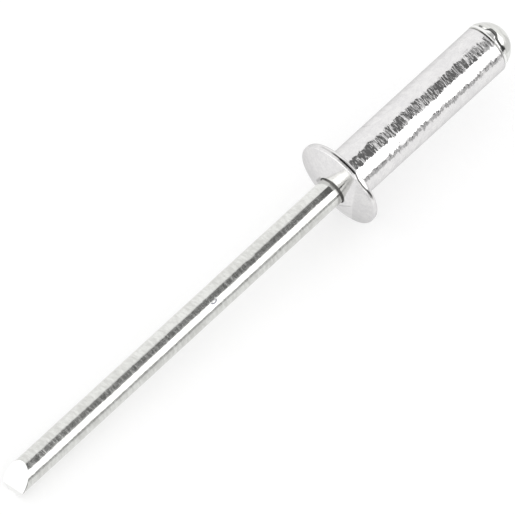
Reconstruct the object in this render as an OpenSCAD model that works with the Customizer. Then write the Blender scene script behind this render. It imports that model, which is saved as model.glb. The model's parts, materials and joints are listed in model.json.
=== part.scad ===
// Open-end blind rivet: a domed rivet body threaded on its headed mandrel, not yet set.
// Both pieces are turned shapes, drawn upright about +Z with the flange's seat at z = 0,
// and then laid down as the rivet comes to rest on a table: on its rim and on the stem's end.

/* [Sleeve] */
// Outside radius of the sleeve that goes through the work
sleeve_r = 1.6; // [1.5:0.05:2]
// Length of the sleeve from the flange's seat to its open end
sleeve_l = 12.3; // [8:0.1:20]
// Radius that rounds the outer edge of the open end
sleeve_edge = 0.1; // [0.05:0.01:0.2]
// Chamfer at the mouth of the bore in the open end
mouth_chamfer = 0.1; // [0.05:0.01:0.15]
// Fillet between the sleeve and the flange's seat
seat_fillet = 0.15; // [0.05:0.01:0.3]

/* [Flange] */
// Radius of the flange at its rim
flange_r = 2.91; // [2.5:0.01:3.4]
// Thickness of the flange at its rim
rim_t = 0.55; // [0.45:0.01:0.8]
// Radius that rounds the rim on the seat's side
rim_back_edge = 0.25; // [0.1:0.01:0.28]
// Radius that rounds the rim on the domed side
rim_front_edge = 0.12; // [0.05:0.01:0.15]
// Radius of the sphere that the domed face follows
crown_r = 7.6; // [5:0.1:12]
// Radius that rounds the edge of the hole in the domed face
hole_edge = 0.08; // [0.05:0.01:0.15]
// Length of the narrow throat behind that edge, which grips the stem
throat_l = 0.4; // [0.2:0.05:0.5]

/* [Mandrel stem] */
// Radius of the drawn wire
stem_r = 0.89; // [0.8:0.01:1]
// Length of the stem from the flange's seat to its cut end
stem_l = 28.2; // [20:0.1:40]
// Angle of the sheared face, measured from a square cut
cut_angle = 45; // [20:1:60]
// Height of the square land left beside the sheared face
cut_land = 0.58; // [0.2:0.01:0.8]
// Turn of the sheared face about the stem, measured from straight up
cut_turn = 13.5; // [-60:0.5:60]

/* [Mandrel head] */
// Radius of the head at its shoulder
head_r = 1.545; // [1.5:0.005:1.6]
// Height of the domed head above the sleeve's open end
head_h = 1.5; // [1.4:0.01:1.6]
// Radius of the sphere that the dome of the head follows
dome_r = 1.56; // [1.5:0.01:1.7]
// Radius of the rounded shoulder ring
shoulder_r = 0.16; // [0.14:0.01:0.2]
// Height of the crease between the shoulder ring and the dome, above the sleeve's open end
crease_h = 0.28; // [0.24:0.01:0.3]
// Width of the crease
crease_w = 0.12; // [0.08:0.01:0.14]
// Depth of the crease, measured from the shoulder ring
crease_depth = 0.07; // [0.03:0.01:0.1]
// Fillet at the root of the head
root_fillet = 0.08; // [0.04:0.01:0.12]

/* [Break neck] */
// Distance from the head back to the middle of the pinched neck
neck_back = 1.6; // [1:0.1:3]
// Depth of each pinch
pinch_depth = 0.34; // [0.2:0.01:0.45]
// Angle between the two faces of a pinch
pinch_angle = 80; // [60:5:100]
// Number of pinches round the neck
pinch_count = 4; // [2:2:6]

/* [Clearances] */
// Gap between the stem and the bore of the sleeve
bore_gap = 0.08; // [0.06:0.01:0.12]
// Gap between the stem and the throat that grips it
throat_gap = 0.04; // [0.02:0.01:0.06]

/* [Colours] */
// Colour of the aluminium rivet body
body_colour = "Gainsboro"; // [Gainsboro, Silver, LightGray]
// Colour of the zinc-plated steel mandrel
mandrel_colour = "Silver"; // [Silver, Gainsboro, DarkGray]

/* [Hidden] */
$fn = 96;

// Largest angle and largest distance between two points of an arc in an outline
arc_step = 7.5;
arc_chord = 0.5;

bore_r = stem_r + bore_gap;
throat_r = stem_r + throat_gap;

// Centres of the arcs that bound the flange in the half plane of its outline
front_edge_centre = [flange_r - rim_front_edge, rim_front_edge - rim_t];
back_edge_centre = [flange_r - rim_back_edge, -rim_back_edge];
crown_rise = sqrt(pow(crown_r - rim_front_edge, 2) - pow(front_edge_centre[0], 2));
crown_centre = [0, front_edge_centre[1] + crown_rise];
hole_edge_x = throat_r + hole_edge;
hole_edge_drop = sqrt(pow(crown_r - hole_edge, 2) - pow(hole_edge_x, 2));
hole_edge_centre = [hole_edge_x, crown_centre[1] - hole_edge_drop];

// Centres of the arcs that bound the head, and the angles at which they meet the crease
dome_centre = [0, sleeve_l + head_h - dome_r];
shoulder_centre = [head_r - shoulder_r, sleeve_l + shoulder_r];
shoulder_end = asin((crease_h - crease_w / 2 - shoulder_r) / shoulder_r);
crease_bottom = [shoulder_centre[0] + shoulder_r * cos(shoulder_end) - crease_depth, sleeve_l + crease_h];
dome_start = asin((crease_h + crease_w / 2 - head_h + dome_r) / dome_r);

// The tilt at which the rim's front edge and the bottom of the stem's end touch one plane
rest_run = stem_l + front_edge_centre[1];
rest_drop = front_edge_centre[0] - stem_r;
rest_tilt = atan2(rest_drop, rest_run) + asin(rim_front_edge / norm([rest_run, rest_drop]));

// Direction from one point to another, in degrees
function heading(from, to) = atan2(to[1] - from[1], to[0] - from[0]);

// Points along an arc, with both of its ends
function arc(centre, r, from, to) =
    let (turned = abs(to - from),
         n = max(1, ceil(turned / arc_step), ceil(turned * r * PI / 180 / arc_chord)))
    [for (i = [0:n]) centre + r * [cos(from + (to - from) * i / n), sin(from + (to - from) * i / n)]];

// Lays an upright piece down along +X, at the tilt at which the rivet rests
module laid() {
    rotate([0, 90 - rest_tilt, 0]) children();
}

// Half section of the rivet body, from the hole's edge round the outside and back along the bore
module body_section() {
    crown_start = heading(crown_centre, hole_edge_centre);
    crown_end = heading(crown_centre, front_edge_centre);
    polygon(concat(
        arc(hole_edge_centre, hole_edge, -180, crown_start),
        arc(crown_centre, crown_r, crown_start, crown_end),
        arc(front_edge_centre, rim_front_edge, crown_end, 0),
        arc(back_edge_centre, rim_back_edge, 0, 90),
        arc([sleeve_r + seat_fillet, seat_fillet], seat_fillet, 270, 180),
        arc([sleeve_r - sleeve_edge, sleeve_l - sleeve_edge], sleeve_edge, 0, 90),
        [[bore_r + mouth_chamfer, sleeve_l],
         [bore_r, sleeve_l - mouth_chamfer],
         [bore_r, hole_edge_centre[1] + throat_l + bore_r - throat_r],
         [throat_r, hole_edge_centre[1] + throat_l]]
    ));
}

// Half section of the mandrel, from the middle of its cut end to the top of its head
module mandrel_section() {
    polygon(concat(
        [[0, -stem_l], [stem_r, -stem_l]],
        arc([stem_r + root_fillet, sleeve_l - root_fillet], root_fillet, 180, 90),
        arc(shoulder_centre, shoulder_r, -90, shoulder_end),
        [crease_bottom],
        arc(dome_centre, dome_r, dome_start, 90)
    ));
}

// Wedges that the pinching dies press into the wire, where it breaks once the rivet is set
module neck_pinches() {
    reach = 2 * pinch_depth;
    half_mouth = reach * tan(pinch_angle / 2);
    for (i = [0:pinch_count - 1]) {
        rotate([0, 0, 360 * i / pinch_count])
            translate([stem_r - pinch_depth, stem_r, sleeve_l - neck_back])
                rotate([90, 0, 0])
                    linear_extrude(2 * stem_r)
                        polygon([[0, 0], [reach, -half_mouth], [reach, half_mouth]]);
    }
}

// What the slanting shear takes off the end of the stem
module shear_cut() {
    block = 6 * stem_r;
    rotate([0, 0, -cut_turn])
        translate([stem_r - cut_land, 0, -stem_l])
            rotate([0, cut_angle, 0])
                translate([-block, -block / 2, -block]) cube(block);
}

module rivet_body() {
    color(body_colour) laid() rotate_extrude() body_section();
}

module mandrel() {
    color(mandrel_colour) laid() difference() {
        rotate_extrude() mandrel_section();
        neck_pinches();
        shear_cut();
    }
}

rivet_body();
mandrel();
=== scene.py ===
import json
import math

import bmesh
import bpy
from mathutils import Matrix, Vector


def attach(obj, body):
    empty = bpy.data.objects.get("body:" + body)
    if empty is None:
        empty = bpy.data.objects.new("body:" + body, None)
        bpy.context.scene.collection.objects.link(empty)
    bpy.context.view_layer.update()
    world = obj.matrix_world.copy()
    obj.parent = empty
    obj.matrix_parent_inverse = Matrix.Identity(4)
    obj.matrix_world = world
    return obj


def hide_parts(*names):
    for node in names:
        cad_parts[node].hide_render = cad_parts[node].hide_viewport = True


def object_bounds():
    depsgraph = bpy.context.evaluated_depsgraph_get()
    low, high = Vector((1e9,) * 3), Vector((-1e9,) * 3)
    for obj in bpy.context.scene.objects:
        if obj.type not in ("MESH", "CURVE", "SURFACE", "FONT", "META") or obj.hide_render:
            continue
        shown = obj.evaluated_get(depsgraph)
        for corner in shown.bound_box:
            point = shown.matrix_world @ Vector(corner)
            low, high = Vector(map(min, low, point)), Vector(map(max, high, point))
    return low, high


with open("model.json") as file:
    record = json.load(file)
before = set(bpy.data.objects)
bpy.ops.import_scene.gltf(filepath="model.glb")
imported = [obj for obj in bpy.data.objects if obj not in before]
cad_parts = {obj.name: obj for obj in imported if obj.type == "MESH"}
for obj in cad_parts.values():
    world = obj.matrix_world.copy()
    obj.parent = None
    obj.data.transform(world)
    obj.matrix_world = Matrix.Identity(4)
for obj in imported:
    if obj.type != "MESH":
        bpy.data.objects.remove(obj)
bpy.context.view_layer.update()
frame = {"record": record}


# Rivet body. One piece of soft aluminium: a wire slug headed cold in a die, which leaves the domed flange,
# then drilled through to make the sleeve, with a narrow throat that grips the stem. It was tumbled last, so
# the flange is satin, while the sleeve keeps fine marks that run round it.
MM = 0.001
ARC_STEP, CROWN_STEP = math.radians(4.0), math.radians(1.0)
STRAIGHT_STEP = 0.5
ROUND = 240
SLEEVE_R, SLEEVE_L, SLEEVE_EDGE, MOUTH_CHAMFER, SEAT_FILLET = 1.6, 12.3, 0.1, 0.1, 0.15
FLANGE_R, RIM_T, RIM_BACK_EDGE, RIM_FRONT_EDGE, CROWN_R = 2.91, 0.55, 0.25, 0.12, 7.6
HOLE_EDGE, THROAT_L = 0.08, 0.4
STEM_R, BORE_GAP, THROAT_GAP = 0.89, 0.08, 0.04
BORE_R = STEM_R + BORE_GAP
THROAT_R = STEM_R + THROAT_GAP

shank_mount = next(m for m in frame["record"]["mounts"] if m["name"] == "shank")
AXIS = Vector(shank_mount["axis"]).normalized()
ACROSS = Vector((0.0, 1.0, 0.0))
DOWN = ACROSS.cross(AXIS)
LAID = Matrix((DOWN, ACROSS, AXIS)).transposed().to_4x4()


def heading(start, end):
    return math.atan2(end[1] - start[1], end[0] - start[0])


def arc(centre, r, start, end, step=ARC_STEP):
    """Points along an arc of an outline, with both of its ends; the angles are in radians."""
    n = max(1, math.ceil(abs(end - start) / step))
    angles = [start + (end - start) * i / n for i in range(n + 1)]
    return [(centre[0] + r * math.cos(a), centre[1] + r * math.sin(a)) for a in angles]


def straight(start, end):
    """Points along a straight stretch of an outline, without its two ends."""
    run, rise = end[0] - start[0], end[1] - start[1]
    n = max(1, math.ceil(math.hypot(run, rise) / STRAIGHT_STEP))
    return [(start[0] + run * i / n, start[1] + rise * i / n) for i in range(1, n)]


def turned(outline, closed):
    """A mesh turned from an outline of (radius, height) in millimetres; an open one ends on the axis."""
    bm = bmesh.new()
    angles = [2.0 * math.pi * i / ROUND for i in range(ROUND)]
    rings = []
    for r, z in outline:
        around = [(r * math.cos(a), r * math.sin(a)) for a in angles] if r else [(0.0, 0.0)]
        rings.append([bm.verts.new((x * MM, y * MM, z * MM)) for x, y in around])
    pairs = list(zip(rings, rings[1:]))
    if closed:
        pairs.append((rings[-1], rings[0]))
    for low, high in pairs:
        for i in range(ROUND):
            j = (i + 1) % ROUND
            corners = [low[i % len(low)], low[j % len(low)], high[j % len(high)], high[i % len(high)]]
            bm.faces.new(list(dict.fromkeys(corners)))
    bmesh.ops.recalc_face_normals(bm, faces=bm.faces)
    return bm


def laid_piece(name, bm, sharp_degrees):
    """An object of the mesh, laid down as the rivet lies, smooth except at the edges that turn sharply."""
    mesh = bpy.data.meshes.new(name)
    bm.transform(LAID)
    bm.to_mesh(mesh)
    bm.free()
    mesh.shade_smooth()
    mesh.set_sharp_from_angle(angle=math.radians(sharp_degrees))
    piece = bpy.data.objects.new(name, mesh)
    bpy.context.scene.collection.objects.link(piece)
    return piece


front_edge_centre = (FLANGE_R - RIM_FRONT_EDGE, RIM_FRONT_EDGE - RIM_T)
back_edge_centre = (FLANGE_R - RIM_BACK_EDGE, -RIM_BACK_EDGE)
crown_rise = math.sqrt((CROWN_R - RIM_FRONT_EDGE) ** 2 - front_edge_centre[0] ** 2)
crown_centre = (0.0, front_edge_centre[1] + crown_rise)
hole_edge_x = THROAT_R + HOLE_EDGE
hole_edge_drop = math.sqrt((CROWN_R - HOLE_EDGE) ** 2 - hole_edge_x ** 2)
hole_edge_centre = (hole_edge_x, crown_centre[1] - hole_edge_drop)
hole_heading = heading(crown_centre, hole_edge_centre)
rim_heading = heading(crown_centre, front_edge_centre)
throat_end = hole_edge_centre[1] + THROAT_L

body_outline = arc(hole_edge_centre, HOLE_EDGE, -math.pi, hole_heading)
body_outline += arc(crown_centre, CROWN_R, hole_heading, rim_heading, step=CROWN_STEP)[1:]
body_outline += arc(front_edge_centre, RIM_FRONT_EDGE, rim_heading, 0.0)[1:]
body_outline += arc(back_edge_centre, RIM_BACK_EDGE, 0.0, math.pi / 2.0)
body_outline += arc((SLEEVE_R + SEAT_FILLET, SEAT_FILLET), SEAT_FILLET, 1.5 * math.pi, math.pi)
body_outline += straight((SLEEVE_R, SEAT_FILLET), (SLEEVE_R, SLEEVE_L - SLEEVE_EDGE))
body_outline += arc((SLEEVE_R - SLEEVE_EDGE, SLEEVE_L - SLEEVE_EDGE), SLEEVE_EDGE, 0.0, math.pi / 2.0)
body_outline += [(BORE_R + MOUTH_CHAMFER, SLEEVE_L), (BORE_R, SLEEVE_L - MOUTH_CHAMFER)]
body_outline += [(BORE_R, throat_end + BORE_R - THROAT_R), (THROAT_R, throat_end)]
rivet_body = laid_piece("rivet_body_turned", turned(body_outline, closed=True), sharp_degrees=40.0)


class Shade:
    """A shader socket that takes part in Python sums; each sum on it adds its Math node."""

    def __init__(self, tree, socket=None):
        self.tree = tree
        self.socket = socket

    def node(self, kind, settings=None, sockets=None, out=0):
        """Adds a node: its settings first, then the values or links of its sockets."""
        added = self.tree.nodes.new("ShaderNode" + kind)
        for name, value in (settings or {}).items():
            setattr(added, name, value)
        for key, value in (sockets or {}).items():
            if isinstance(value, Shade):
                self.tree.links.new(value.socket, added.inputs[key])
            else:
                added.inputs[key].default_value = value
        return Shade(self.tree, added.outputs[out]) if len(added.outputs) else added

    def math(self, operation, *values):
        return self.node("Math", {"operation": operation}, dict(enumerate(values)))

    def __add__(self, other):
        return self.math("ADD", self, other)

    __radd__ = __add__

    def __sub__(self, other):
        return self.math("SUBTRACT", self, other)

    def __rsub__(self, other):
        return self.math("SUBTRACT", other, self)

    def __mul__(self, other):
        return self.math("MULTIPLY", self, other)

    __rmul__ = __mul__

    def __truediv__(self, other):
        return self.math("DIVIDE", self, other)

    def __rtruediv__(self, other):
        return self.math("DIVIDE", other, self)

    def __abs__(self):
        return self.math("ABSOLUTE", self)

    def joined(self, other):
        """Two patches as one: the larger of their values."""
        return self.math("MAXIMUM", self, other)

    def step(self, low, high):
        """0 below low, 1 above high and smooth between them; low may be the larger one."""
        return self.node("MapRange", {"interpolation_type": "SMOOTHSTEP"},
                         {"Value": self, "From Min": low, "From Max": high})

    def between(self, start, full, fading, end):
        """0 below start, 1 from full to fading, 0 above end, and smooth in the stretches between them."""
        return self.step(start, full) * self.step(end, fading)

    def mix(self, first, second):
        """A mix of two colours, by this value."""
        return self.node("Mix", {"data_type": "RGBA"}, {"Factor": self, 6: first, 7: second}, out=2)

    def dot(self, way):
        """How far this vector reaches along a way."""
        return self.node("VectorMath", {"operation": "DOT_PRODUCT"}, {0: self, 1: way}, out="Value")

    def scaled(self, factors):
        """This vector with each of its three values times its own factor."""
        return self.node("VectorMath", {"operation": "MULTIPLY"}, {0: self, 1: factors})


def place_on(shade):
    """Place on a turned piece: the vector of millimetres down, across and along, the last of these alone,
    and the turn about the axis from the top, in degrees."""
    at = shade.node("TexCoord", out="Object")
    down, across, along = [at.dot(way / MM) for way in (DOWN, ACROSS, AXIS)]
    place = shade.node("CombineXYZ", None, {"X": down, "Y": across, "Z": along})
    turn = shade.math("DEGREES", shade.math("ARCTAN2", across, -1.0 * down))
    return place, along, turn


def noise(place, per_mm, detail=3.0, roughness=0.5):
    """Noise with as many grains to a millimetre as per_mm says, down, across and along."""
    return place.node("TexNoise", None, {
        "Vector": place.scaled(per_mm), "Scale": 1.0, "Detail": detail, "Roughness": roughness})


def filled(holder, output, build):
    """Fills the node tree of a material or a world with what a function builds from it."""
    holder.use_nodes = True
    holder.node_tree.nodes.clear()
    shade = Shade(holder.node_tree)
    shade.node(output, None, {"Surface": build(shade)})
    return holder


# The finish of the body. Places are in millimetres and turns in degrees. Two numbers are where a patch starts
# and where it is full, and four are where it starts, is full, begins to fade and ends. The front is the side
# of the rivet that the photograph shows.
SATIN_DARK, SATIN_LIGHT = (0.79, 0.78, 0.785, 1.0), (0.88, 0.87, 0.865, 1.0)
# The first colour on the next line is the dark of the painted shade and painted reflection.
BODY_SHADE_COLOUR, BODY_TINT = (0.06, 0.058, 0.055, 1.0), (0.75, 0.75, 0.75, 1.0)
SLEEVE_FROM = (0.1, 0.35)
WORN_FROM, LEAST_WORN = (1.9, 2.6), 0.4
HALF_WORN, DRAWN = (7.3, 7.9, 10.0, 10.4), (10.0, 10.4, 11.1, 11.5)
FACE_BEFORE = (-0.7, -0.75)
# Below: painted shade round the stem's foot and in a patch beside it, and a painted reflection of the stem as
# a thin streak.
FOOT_FROM, FOOT_FADE, FOOT_TURNS = (0.91, 0.94), (0.01, -0.05), (-115.0, -85.0, 38.0, 62.0)
FOOT_R, FOOT_WIDEST, FOOT_WIDEST_TURN = 0.99, 0.2, -32.0
FRONT_TURN = math.radians(-24.6)
SHADE_PATCH_PLACE, SHADE_PATCH_SIDES, SHADE_PATCH_ENDS = (-0.35, 0.99), (0.15, 0.03), (0.75, 0.3)
STREAK_WAY, STREAK_OFF_AXIS = (0.91, -0.416), 1.14
STREAK_SIDES, STREAK_STRETCH = (0.1, 0.02), (-0.6, -0.3, 0.7, 1.3)
NEAR_TOP = (-32.0, -12.0, 8.0, 24.0)
# Painted shade at the sleeve's open end, by the head.
MOUTH_SHADE_FROM = (SLEEVE_L - 0.12, SLEEVE_L - 0.06)
# Below: painted shade as a thin dark line round the rim.
LINE_Z, LINE_SIDES, LINE_FROM_R = -0.28, (0.07, 0.04), (2.85, 2.88)
LINE_TURNS, LINE_FAINT_TURNS = (-73.0, -60.0, 24.0, 34.0), (4.0, 14.0)
LINE_TO_FACE, LINE_TO_FACE_TURNS = 0.12, (-64.0, -44.0, -38.0, -28.0)
LINE_TO_SLEEVE, LINE_TO_SLEEVE_TURNS = 0.05, (-44.0, -64.0)
RIM_BEFORE, RIM_FROM_R = (-0.34, -0.38), (2.82, 2.88)
BODY_BUMP = 0.05


def painted_shade_on_face(place, z, radius, turn):
    """Painted shade round the stem's foot and in a patch beside it, and the stem's painted reflection below.
    """
    toward_widest = 0.5 + 0.5 * z.math("COSINE", (turn - FOOT_WIDEST_TURN) * math.radians(1.0))
    past_foot = radius - (FOOT_R + FOOT_WIDEST * z.math("POWER", toward_widest, 4.0))
    # Painted shade: a dark band round the stem where it goes into the face, widest towards the front.
    foot = radius.step(*FOOT_FROM) * past_foot.step(*FOOT_FADE) * turn.between(*FOOT_TURNS)
    to_front = place.dot((-math.cos(FRONT_TURN), math.sin(FRONT_TURN), 0.0))
    to_upper_side = place.dot((math.sin(FRONT_TURN), math.cos(FRONT_TURN), 0.0))
    # Painted shade: a soft dark patch beside the stem's foot, on its upper side.
    shade_patch = abs(to_front - SHADE_PATCH_PLACE[0]).step(*SHADE_PATCH_ENDS)
    shade_patch = shade_patch * abs(to_upper_side - SHADE_PATCH_PLACE[1]).step(*SHADE_PATCH_SIDES)
    # Painted reflection of the stem's shadow: a thin dark streak on the face below the stem.
    along_streak = to_front * STREAK_WAY[0] + to_upper_side * STREAK_WAY[1]
    off_streak = abs(to_upper_side * STREAK_WAY[0] - to_front * STREAK_WAY[1] + STREAK_OFF_AXIS)
    reflected_streak = off_streak.step(*STREAK_SIDES) * along_streak.between(*STREAK_STRETCH)
    return z.step(*FACE_BEFORE) * foot.joined(0.5 * shade_patch).joined(0.22 * reflected_streak)


def painted_shade_on_rim(z, radius, turn):
    """Painted shade: a thin dark line round the rim, bent towards the face in one place, faint past the top.
    """
    line_z = LINE_Z - LINE_TO_FACE * turn.between(*LINE_TO_FACE_TURNS)
    line_z = line_z + LINE_TO_SLEEVE * turn.step(*LINE_TO_SLEEVE_TURNS)
    line = abs(z - line_z).step(*LINE_SIDES) * radius.step(*LINE_FROM_R) * turn.between(*LINE_TURNS)
    return line * (1.0 - 0.7 * turn.step(*LINE_FAINT_TURNS))


def tumbled_aluminium(shade):
    place, z, turn = place_on(shade)
    off_axis = place.scaled((1.0, 1.0, 0.0))
    radius = shade.node("VectorMath", {"operation": "LENGTH"}, {0: off_axis}, out="Value")
    sleeve = z.step(*SLEEVE_FROM)
    worn = LEAST_WORN + (1.0 - LEAST_WORN) * z.step(*WORN_FROM) * (1.0 - 0.5 * z.between(*HALF_WORN))
    drawn = z.between(*DRAWN)
    ripples = noise(place, (0.75, 0.75, 2.3), detail=2.0, roughness=0.45)
    dents = noise(place, (1.3, 1.3, 4.4), detail=2.0)
    streaks = noise(place, (3.2, 3.2, 0.7), detail=2.0)
    scuffs = noise(place, (3.36, 3.36, 7.0), detail=2.0)
    peel = noise(place, (2.6, 2.6, 2.6), detail=4.0, roughness=0.6)
    grain = noise(place, (7.0, 7.0, 7.0), roughness=0.65)
    blotch = noise(place, (0.9, 0.9, 0.9), detail=2.0)

    tone = (blotch * 0.3 + grain * 0.3 + peel * 0.4).step(0.38, 0.62)
    # Painted shade in the gap between the sleeve's open end and the head, darkest near the top.
    mouth_shade = z.step(*MOUTH_SHADE_FROM) * (0.4 + 0.5 * turn.between(*NEAR_TOP))
    # Painted shade and painted reflection on the face, at the sleeve's open end and round the rim, in one
    # dark colour.
    painted_shade = (0.85 * painted_shade_on_face(place, z, radius, turn)).joined(mouth_shade)
    painted_shade = painted_shade.joined(0.9 * painted_shade_on_rim(z, radius, turn))
    colour = painted_shade.mix(tone.mix(SATIN_DARK, SATIN_LIGHT), BODY_SHADE_COLOUR)

    rubbed = (scuffs * (1.0 - drawn) + streaks * drawn + 0.04 * worn).step(0.53, 0.62)
    rim = z.step(*RIM_BEFORE) * radius.step(*RIM_FROM_R)
    roughness = 0.06 + sleeve * (0.16 * rubbed * (0.4 + 0.6 * worn) + 0.06 * grain)
    roughness = roughness + (1.0 - sleeve) * 0.08 * peel + 0.3 * rim
    height = sleeve * (worn * ripples * 2.1 + dents * 0.65 + drawn * streaks * 0.6)
    height = height + (1.0 - sleeve) * peel * 0.12
    bump = shade.node("Bump", None, {"Strength": 1.0, "Distance": BODY_BUMP * MM, "Height": height})
    return shade.node("BsdfPrincipled", None, {
        "Base Color": colour, "Metallic": 1.0, "Roughness": roughness, "Specular Tint": BODY_TINT,
        "Normal": bump})


aluminium = filled(bpy.data.materials.new("tumbled_aluminium"), "OutputMaterial", tumbled_aluminium)
rivet_body.data.materials.append(aluminium)
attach(rivet_body, "root")
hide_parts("rivet_body")


# Mandrel. One piece of drawn steel wire with bright zinc plating. The domed head is cold-formed on the end
# that closes the sleeve, dies pinch the neck inside the bore, and a slanting shear cuts the wire to length.
STEM_L, CUT_ANGLE, CUT_LAND, CUT_TURN = 28.2, 45.0, 0.58, 13.5
HEAD_R, HEAD_H, DOME_R, SHOULDER_R, ROOT_FILLET = 1.545, 1.5, 1.56, 0.16, 0.08
CREASE_H, CREASE_W, CREASE_DEPTH = 0.28, 0.12, 0.07
CREASE_RISE, RISE_TURN, RISE_WIDTH = 0.2, -7.5, 14.0
CREASE_DIP, DIP_TURN, DIP_WIDTH = 0.05, -38.0, 12.0
WANDER_TOP, WANDER_FADE = 0.9, 0.5
HEAD_OFF_CENTRE, HEAD_OFF_TURN = 0.09, math.radians(65.4)
NECK_BACK, PINCH_DEPTH, PINCH_ANGLE = 1.6, 0.34, 80.0
PINCH_STEPS = 8

dome_centre = (0.0, SLEEVE_L + HEAD_H - DOME_R)
shoulder_centre = (HEAD_R - SHOULDER_R, SLEEVE_L + SHOULDER_R)
shoulder_end = math.asin((CREASE_H - CREASE_W / 2.0 - SHOULDER_R) / SHOULDER_R)
dome_start = math.asin((CREASE_H + CREASE_W / 2.0 - HEAD_H + DOME_R) / DOME_R)
crease_x = shoulder_centre[0] + SHOULDER_R * math.cos(shoulder_end) - CREASE_DEPTH
crease_bottom = (crease_x, SLEEVE_L + CREASE_H)
neck_z = SLEEVE_L - NECK_BACK
pinch_slope = 1.0 / math.tan(math.radians(PINCH_ANGLE / 2.0))
half_pinch = PINCH_DEPTH / pinch_slope

mandrel_outline = [(0.0, -STEM_L), (STEM_R, -STEM_L)]
mandrel_outline += straight((STEM_R, -STEM_L), (STEM_R, neck_z - half_pinch))
neck_steps = [i / PINCH_STEPS - 1.0 for i in range(2 * PINCH_STEPS + 1)]
mandrel_outline += [(STEM_R, neck_z + half_pinch * step) for step in neck_steps]
mandrel_outline += arc((STEM_R + ROOT_FILLET, SLEEVE_L - ROOT_FILLET), ROOT_FILLET, math.pi, math.pi / 2.0)
mandrel_outline += arc(shoulder_centre, SHOULDER_R, -math.pi / 2.0, shoulder_end) + [crease_bottom]
mandrel_outline += arc(dome_centre, DOME_R, dome_start, math.pi / 2.0)[:-1]
mandrel_outline += [(0.0, SLEEVE_L + HEAD_H)]
mandrel_mesh = turned(mandrel_outline, closed=False)


def crease_shift(turn):
    """How far the crease wanders towards the top of the head, in millimetres, at a turn in degrees."""
    from_rise, from_dip = (turn - RISE_TURN) / RISE_WIDTH, (turn - DIP_TURN) / DIP_WIDTH
    from_rise, from_dip = from_rise * from_rise, from_dip * from_dip
    return CREASE_RISE / (1.0 + from_rise * from_rise * from_rise) - CREASE_DIP / (1.0 + from_dip)


def clamped(value):
    return min(max(value, 0.0), 1.0)


for vert in mandrel_mesh.verts:
    above = vert.co.z / MM - SLEEVE_L
    if above > CREASE_H - CREASE_W / 4.0:
        turn = math.degrees(math.atan2(vert.co.y, -vert.co.x))
        vert.co.z += clamped((WANDER_TOP - above) / WANDER_FADE) * crease_shift(turn) * MM
    off_centre = clamped(above / ROOT_FILLET + 1.0) * HEAD_OFF_CENTRE * MM
    vert.co.y += off_centre * math.sin(HEAD_OFF_TURN)
    vert.co.x -= off_centre * math.cos(HEAD_OFF_TURN)

for vert in mandrel_mesh.verts:
    off_neck = abs(vert.co.z / MM - neck_z)
    widest = max(abs(vert.co.x), abs(vert.co.y)) / MM
    reach = STEM_R - PINCH_DEPTH + off_neck * pinch_slope
    if off_neck < half_pinch and widest > reach:
        vert.co.x *= reach / widest
        vert.co.y *= reach / widest

cut_turn, cut_slope = math.radians(CUT_TURN), math.radians(CUT_ANGLE)
upward = Vector((math.cos(cut_turn), -math.sin(cut_turn), 0.0))
hinge = upward * (STEM_R - CUT_LAND) - Vector((0.0, 0.0, STEM_L))
inward = upward * math.sin(cut_slope) + Vector((0.0, 0.0, math.cos(cut_slope)))
bmesh.ops.bisect_plane(
    mandrel_mesh, geom=mandrel_mesh.verts[:] + mandrel_mesh.edges[:] + mandrel_mesh.faces[:],
    dist=1e-8, plane_co=hinge * MM, plane_no=-inward, clear_outer=True)
bmesh.ops.holes_fill(mandrel_mesh, edges=[e for e in mandrel_mesh.edges if e.is_boundary], sides=0)
mandrel = laid_piece("mandrel_headed_wire", mandrel_mesh, sharp_degrees=30.0)

# The finish of the mandrel, in the same units
ZINC_DARK, ZINC_LIGHT = (0.69, 0.69, 0.665, 1.0), (0.83, 0.835, 0.81, 1.0)
# The collar's colour on the next line is a painted highlight. The dark colours on the two lines after it are
# painted shade.
COLLAR_HIGHLIGHT_COLOUR, SHEARED_COLOUR = (0.95, 0.95, 0.94, 1.0), (0.93, 0.93, 0.92, 1.0)
BURR_SHADE_COLOUR, NICK_SHADE_COLOUR = (0.08, 0.08, 0.08, 1.0), (0.1, 0.1, 0.13, 1.0)
MANDREL_SHADE_COLOUR = (0.05, 0.05, 0.05, 1.0)
COLLAR_HIGHLIGHT_FROM, COLLAR_HIGHLIGHT_BEFORE = (SLEEVE_L + 0.06, SLEEVE_L + 0.1), (SLEEVE_L + 0.28, SLEEVE_L + 0.22)
SHEARED_DEPTH, CUT_END = (0.02, 0.004), (0.03 - STEM_L, 0.01 - STEM_L)
BURR_SHADE_DEPTH, BURR_SHADE_TURNS = (0.1, 0.06), (-170.0, -140.0, -72.0, -62.0)
GROOVE = (SLEEVE_L - 0.1, SLEEVE_L - 0.05, SLEEVE_L + 0.01, SLEEVE_L + 0.09)
CREASE_SHADE_Z, CREASE_SHADE_SIDES, CREASE_SHADE_TURNS = SLEEVE_L + CREASE_H + 0.01, (0.12, 0.07), (-59.0, -55.0, 5.0, 16.0)
BLOB, BLOB_TURNS = 0.05, (-42.0, -46.0)
SECOND_CREASE_SHADE_SIDES, SECOND_CREASE_SHADE_TURNS = (0.1, 0.05), (19.0, 23.0, 30.0, 35.0)
WIRE_BEFORE = (-1.3, -2.2)
NICK_PLACE, NICK_SIZE, NICK_SHADED_SIDE = (-11.5, -30.94), (0.28, 11.46), (3.44, -2.29)
DENT_PLACE, DENT_SIZE = (-7.9, 2.865), (0.4, 22.92)
MANDREL_BUMP = 0.02


def off_spot(z, turn, place, size):
    """How far off the middle of an oval spot, which has its edge at 1."""
    along, about = (z - place[0]) / size[0], (turn - place[1]) / size[1]
    return z.math("SQRT", along * along + about * about)


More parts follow.
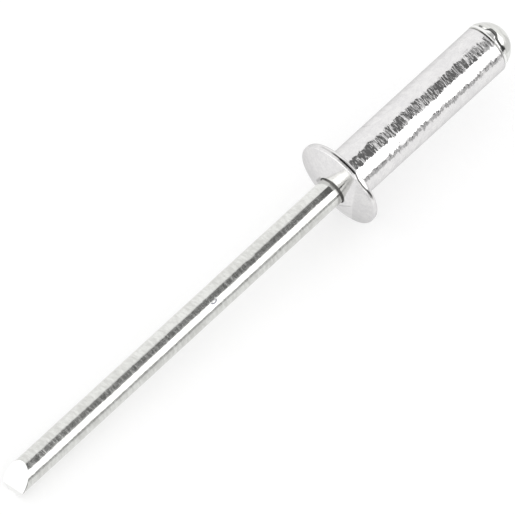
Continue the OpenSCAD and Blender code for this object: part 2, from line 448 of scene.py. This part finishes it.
def painted_shade_on_head(z, turn, shift):
    """Painted shade in the groove between head and sleeve, darkest near the top, and along the crease."""
    groove = z.between(*GROOVE) * (0.35 + 0.45 * turn.between(*NEAR_TOP))
    off_crease = abs(z - shift - CREASE_SHADE_Z)
    crease_shade = (off_crease - BLOB * turn.step(*BLOB_TURNS)).step(*CREASE_SHADE_SIDES) * turn.between(*CREASE_SHADE_TURNS)
    second_crease_shade = off_crease.step(*SECOND_CREASE_SHADE_SIDES) * turn.between(*SECOND_CREASE_SHADE_TURNS)
    return groove.joined(0.95 * crease_shade.joined(0.8 * second_crease_shade))


def plated_steel(shade):
    place, z, turn = place_on(shade)
    shift = crease_shift(turn)
    drawn = noise(place, (5.0, 5.0, 0.35), detail=2.0)
    marks = noise(place, (1.4, 1.4, 5.0), detail=4.0, roughness=0.65)
    wave = noise(place, (0.35, 0.35, 0.35), detail=1.0)
    blotch = noise(place, (0.7, 0.7, 0.7), detail=2.0)
    tear = noise(place, (6.0, 1.6, 6.0))
    chatter = noise(place, (0.8, 0.8, 3.6), roughness=0.6)

    depth = place.dot(inward) - hinge.dot(inward)
    sheared = depth.step(*SHEARED_DEPTH).joined(z.step(*CUT_END))
    # Painted shade: a dark line just inside the cut's edge, on the lower side.
    burr_shade = depth.step(*BURR_SHADE_DEPTH) * (1.0 - sheared) * turn.between(*BURR_SHADE_TURNS)
    # Painted highlight: the collar under the head is lighter in colour, and a little rougher.
    collar_highlight = z.step(*COLLAR_HIGHLIGHT_FROM) * (z - shift).step(*COLLAR_HIGHLIGHT_BEFORE)
    wire = z.step(*WIRE_BEFORE) * (1.0 - sheared)
    off_nick = off_spot(z, turn, NICK_PLACE, NICK_SIZE)
    nick = off_nick.step(1.0, 0.8)
    nick_shaded_side = off_nick.step(0.3, 0.6) * (turn - NICK_PLACE[1]).step(*NICK_SHADED_SIDE)
    dent = off_spot(z, turn, DENT_PLACE, DENT_SIZE).step(1.0, 0.0)

    tone = (0.65 * marks + 0.35 * blotch).step(0.36, 0.64)
    colour = collar_highlight.mix(tone.mix(ZINC_DARK, ZINC_LIGHT), COLLAR_HIGHLIGHT_COLOUR)
    colour = sheared.mix(colour, SHEARED_COLOUR)
    colour = (0.75 * burr_shade).mix(colour, BURR_SHADE_COLOUR)
    # Painted shade in the groove under the head and along its crease.
    colour = painted_shade_on_head(z, turn, shift).mix(colour, MANDREL_SHADE_COLOUR)
    # Painted shade in the nick, darkest along one side. The dip itself is a bump.
    colour = (0.9 * nick * (0.3 + 0.7 * nick_shaded_side)).mix(colour, NICK_SHADE_COLOUR)
    roughness = 0.06 + wire * (0.03 + 0.22 * marks) + 0.3 * sheared + 0.15 * collar_highlight
    height = drawn * 0.12 + marks * 0.1 + wave * 1.5 + sheared * tear * 0.6
    height = height + wire * chatter * 1.3 - 0.15 * nick - 0.9 * dent
    bump = shade.node("Bump", None, {"Strength": 1.0, "Distance": MANDREL_BUMP * MM, "Height": height})
    return shade.node("BsdfPrincipled", None, {
        "Base Color": colour, "Metallic": 1.0, "Roughness": roughness, "Normal": bump})


steel = filled(bpy.data.materials.new("plated_steel"), "OutputMaterial", plated_steel)
mandrel.data.materials.append(steel)
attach(mandrel, "root")
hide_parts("mandrel")


# Camera. A long lens at the photograph's angle: 55.5 degrees above the table, with the rivet's head pointing
# to the right and away. One millimetre at the flange's seat is 16.94 of the picture's 515 pixels.
ELEVATION, AXIS_HEADING, ROLL = math.radians(55.5), math.radians(46.5), math.radians(0.35)
FRAME_PX, PX_PER_MM = 515.0, 16.94
SEAT_PX = (343.4, 180.0)
CAMERA_DISTANCE, SENSOR_MM = 1.3, 36.0
CLIP_START, CLIP_END = 0.05, 50.0

right = Vector((math.cos(AXIS_HEADING), -math.sin(AXIS_HEADING), 0.0))
away = Vector((math.sin(AXIS_HEADING), math.cos(AXIS_HEADING), 0.0))
to_camera = Vector((0.0, 0.0, math.sin(ELEVATION))) - away * math.cos(ELEVATION)
image_up = to_camera.cross(right)
aim_offset = Vector((FRAME_PX / 2.0 - SEAT_PX[0], SEAT_PX[1] - FRAME_PX / 2.0, 0.0)) * (MM / PX_PER_MM)
camera_data = bpy.data.cameras.new("camera")
camera_data.sensor_width = SENSOR_MM
camera_data.lens = SENSOR_MM * CAMERA_DISTANCE / (FRAME_PX / PX_PER_MM * MM)
camera_data.clip_start, camera_data.clip_end = CLIP_START, CLIP_END
camera = bpy.data.objects.new("camera", camera_data)
stand = Matrix.Translation(to_camera * CAMERA_DISTANCE)
aim = Matrix((right, image_up, to_camera)).transposed().to_4x4()
camera.matrix_world = stand @ aim @ Matrix.Rotation(ROLL, 4, "Z") @ Matrix.Translation(aim_offset)
bpy.context.scene.collection.objects.link(camera)
bpy.context.scene.camera = camera


# Table. A plain white surface that the rivet rests on by its rim and the end of its stem. Its white shows to
# the camera and in the metal, and the shadow stays on it.
TABLE_R, TABLE_SIDES, TABLE_GLOW = 2.0, 96, 0.4
TABLE_COLOUR = (0.65, 0.65, 0.65, 1.0)


def studio_piece(name, corners, faces, build):
    """A piece of the studio, which isn't part of the object."""
    mesh = bpy.data.meshes.new(name)
    mesh.from_pydata(corners, [], faces)
    mesh.materials.append(filled(bpy.data.materials.new(name), "OutputMaterial", build))
    piece = bpy.data.objects.new(name, mesh)
    bpy.context.scene.collection.objects.link(piece)
    return piece


def white_table(shade):
    """Matt white, with a glow for rays from the camera and for what metal and glass show of them."""
    camera_ray, glossy_ray, through_ray = [
        shade.node("LightPath", out=ray) for ray in ("Is Camera Ray", "Is Glossy Ray", "Is Transmission Ray")]
    seen = camera_ray.joined(glossy_ray).joined(through_ray)
    matt = shade.node("BsdfDiffuse", None, {"Color": TABLE_COLOUR})
    glow = shade.node("Emission", None, {"Strength": seen * TABLE_GLOW})
    return shade.node("AddShader", None, {0: matt, 1: glow})


table_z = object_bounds()[0][2]
table_turns = [2.0 * math.pi * i / TABLE_SIDES for i in range(TABLE_SIDES)]
table_edge_points = [(TABLE_R * math.cos(a), TABLE_R * math.sin(a), table_z) for a in table_turns]
studio_piece("table", table_edge_points, [list(range(TABLE_SIDES))], white_table)


# Studio light. Soft white light from all round, and cards that only the metal shows. Of those bent round the
# rivet's axis, dark ones give the dark bands, a softbox the bright line and narrow ones the thin line below
# it. Level ones just above the table set the tones of the flange's face and of the head.
WHITE = (1.0, 1.0, 1.0, 1.0)
CARD_DISTANCE, CARD_STRIPS = 0.4, 24

facing = (to_camera - AXIS * to_camera.dot(AXIS)).normalized()
upper_left = facing.cross(AXIS)
if upper_left.dot(image_up) < 0.0:
    upper_left = -upper_left


def card(name, corners, faces, level):
    """A card of even brightness that the camera doesn't see, and that neither shades nor lights the table."""
    piece = studio_piece(name, corners, faces, lambda shade: shade.node(
        "Emission", None, {"Color": WHITE, "Strength": level}))
    piece.visible_camera = piece.visible_shadow = piece.visible_diffuse = False


# Name, the angles that the card spans in degrees from the camera's side towards the upper left, its two ends
# along the axis in metres, and its level. The left and tail ones show in the flange's face, and the side and
# far ones in the metal as it is seen from other sides.
for name, from_degrees, to_degrees, tail, head, level in [
        ("dark_card", -9.0, 44.0, 0.07, 0.27, 0.14),
        ("side_dark_card", -9.0, 44.0, -0.25, 0.015, 0.6),
        ("far_dark_card", -9.0, 44.0, 0.31, 0.8, 0.45),
        ("softbox", -55.0, -9.0, 0.0, 1.2, 2.0),
        ("softbox_edge", -57.0, -55.0, 0.0, 1.2, 0.9),
        ("stem_table_edge", -67.0, -57.0, -0.2, 0.144, 0.2),
        ("table_edge", -67.0, -57.0, 0.146, 0.32, 0.52),
        ("left_card", 60.0, 110.0, -0.8, -0.2, 1.3),
        ("tail_strip", -37.0, -26.0, -0.66, -0.3, 0.0),
        ("tail_light", 0.0, 72.0, -0.9, -0.33, 2.0)]:
    corners = []
    for i in range(CARD_STRIPS + 1):
        a = math.radians(from_degrees + (to_degrees - from_degrees) * i / CARD_STRIPS)
        out = (facing * math.cos(a) + upper_left * math.sin(a)) * CARD_DISTANCE
        corners += [out + AXIS * tail, out + AXIS * head]
    card(name, corners, [[2 * i, 2 * i + 1, 2 * i + 3, 2 * i + 2] for i in range(CARD_STRIPS)], level)

# Name, the corners' places along the rivet and to the camera's lower right of it, in metres, the height above
# the table, and the level
along = Vector((AXIS.x, AXIS.y, 0.0)).normalized()
lower_right = Vector((-upper_left.x, -upper_left.y, 0.0)).normalized()
for name, places, height, level in [
        ("grey_card", [(-0.3, -0.3), (-0.3, 0.3), (0.3, 0.3), (0.3, -0.3)], 0.0001, 0.96),
        ("tail_card", [(-1.5, -0.8), (-1.5, 0.8), (-0.06, 0.3), (-0.06, -0.3)], 0.00015, 0.8),
        ("near_stem_card", [(-0.035, 0.001), (-0.035, 0.03), (0.0, 0.03), (0.0, 0.001)], 0.00017, 0.84),
        ("near_head_card", [(0.017, 0.0), (0.022, 0.03), (0.05, 0.03), (0.05, 0.0)], 0.00018, 0.8),
        ("edge_strip", [(-0.04, 0.0005), (-0.4, 0.5), (0.6, 0.5), (0.6, 0.25)], 0.0002, 0.45)]:
    lift = Vector((0.0, 0.0, table_z + height))
    card(name, [along * end + lower_right * side + lift for end, side in places], [[0, 1, 2, 3]], level)

bpy.context.scene.world = filled(bpy.data.worlds.new("studio"), "OutputWorld", lambda shade: shade.node(
    "Background", None, {"Color": WHITE, "Strength": 1.0}))
bpy.context.scene.view_settings.view_transform = "Standard"
